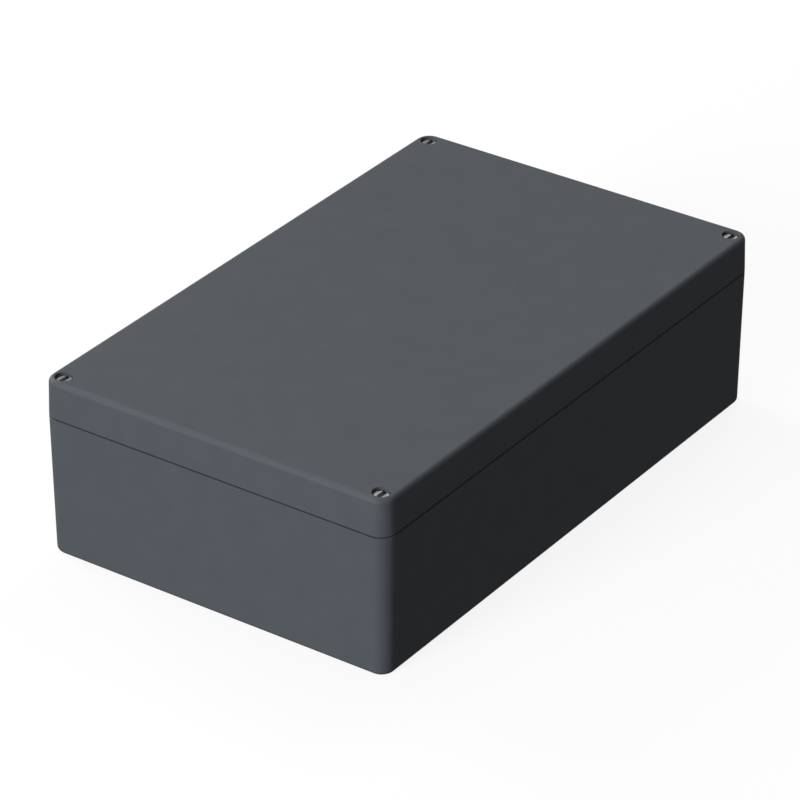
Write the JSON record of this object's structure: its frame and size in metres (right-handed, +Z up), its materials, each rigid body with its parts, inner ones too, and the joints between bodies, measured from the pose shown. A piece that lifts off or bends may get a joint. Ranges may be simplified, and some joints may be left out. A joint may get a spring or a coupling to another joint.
{
  "type": "polyester enclosure",
  "caption": "Flat rectangular dark grey polyester enclosure: drafted base and plain lid with rounded edges, held by captive slotted corner screws, with seal, floor inserts and fixing holes.",
  "frame": {"origin": "centre of the enclosure's bottom face", "axes": "+X along the length, +Y along the width, +Z up out of the lid; left is -X and front is -Y"},
  "size_m": [0.4, 0.25, 0.12],
  "materials": {
    "polyester": "satin moulded glass-fibre polyester, dark grey",
    "seal": "matt black elastomer",
    "steel": "turned stainless steel",
    "nylon": "natural nylon",
    "brass": "turned brass"
  },
  "bodies": {
    "base": {"base": "polyester", "screw_insert_front_left": "brass", "screw_insert_front_right": "brass", "screw_insert_back_left": "brass", "screw_insert_back_right": "brass", "plate_insert_front_left": "brass", "plate_insert_front_right": "brass", "plate_insert_back_left": "brass", "plate_insert_back_right": "brass", "rail_insert_left": "brass", "rail_insert_right": "brass"},
    "lid": {"lid": "polyester", "gasket": "seal"},
    "ring_front_left": {"retaining_ring_front_left": "nylon"},
    "screw_front_left": {"lid_screw_front_left": "steel"},
    "ring_front_right": {"retaining_ring_front_right": "nylon"},
    "screw_front_right": {"lid_screw_front_right": "steel"},
    "ring_back_left": {"retaining_ring_back_left": "nylon"},
    "screw_back_left": {"lid_screw_back_left": "steel"},
    "ring_back_right": {"retaining_ring_back_right": "nylon"},
    "screw_back_right": {"lid_screw_back_right": "steel"}
  },
  "joints": [
    {"name": "lid_lift", "type": "slide", "parent": "base", "child": "lid", "axis": [0, 0, 1], "range_m": [0, 0.15]},
    {"name": "screw_lift_front_left", "type": "slide", "parent": "lid", "child": "ring_front_left", "axis": [0, 0, 1], "range_m": [0, 0.008]},
    {"name": "screw_turn_front_left", "type": "hinge", "parent": "ring_front_left", "child": "screw_front_left", "pos_m": [-0.19, -0.115, 0.1], "axis": [0, 0, 1], "range_deg": [0, 2881]},
    {"name": "screw_lift_front_right", "type": "slide", "parent": "lid", "child": "ring_front_right", "axis": [0, 0, 1], "range_m": [0, 0.008]},
    {"name": "screw_turn_front_right", "type": "hinge", "parent": "ring_front_right", "child": "screw_front_right", "pos_m": [0.19, -0.115, 0.1], "axis": [0, 0, 1], "range_deg": [0, 2881]},
    {"name": "screw_lift_back_left", "type": "slide", "parent": "lid", "child": "ring_back_left", "axis": [0, 0, 1], "range_m": [0, 0.008]},
    {"name": "screw_turn_back_left", "type": "hinge", "parent": "ring_back_left", "child": "screw_back_left", "pos_m": [-0.19, 0.115, 0.1], "axis": [0, 0, 1], "range_deg": [0, 2881]},
    {"name": "screw_lift_back_right", "type": "slide", "parent": "lid", "child": "ring_back_right", "axis": [0, 0, 1], "range_m": [0, 0.008]},
    {"name": "screw_turn_back_right", "type": "hinge", "parent": "ring_back_right", "child": "screw_back_right", "pos_m": [0.19, 0.115, 0.1], "axis": [0, 0, 1], "range_deg": [0, 2881]}
  ],
  "couplings": [
    {"joint": "screw_turn_front_left", "follows": "screw_lift_front_left", "rad_per_m": 6283.2},
    {"joint": "screw_turn_front_right", "follows": "screw_lift_front_right", "rad_per_m": 6283.2},
    {"joint": "screw_turn_back_left", "follows": "screw_lift_back_left", "rad_per_m": 6283.2},
    {"joint": "screw_turn_back_right", "follows": "screw_lift_back_right", "rad_per_m": 6283.2}
  ]
}
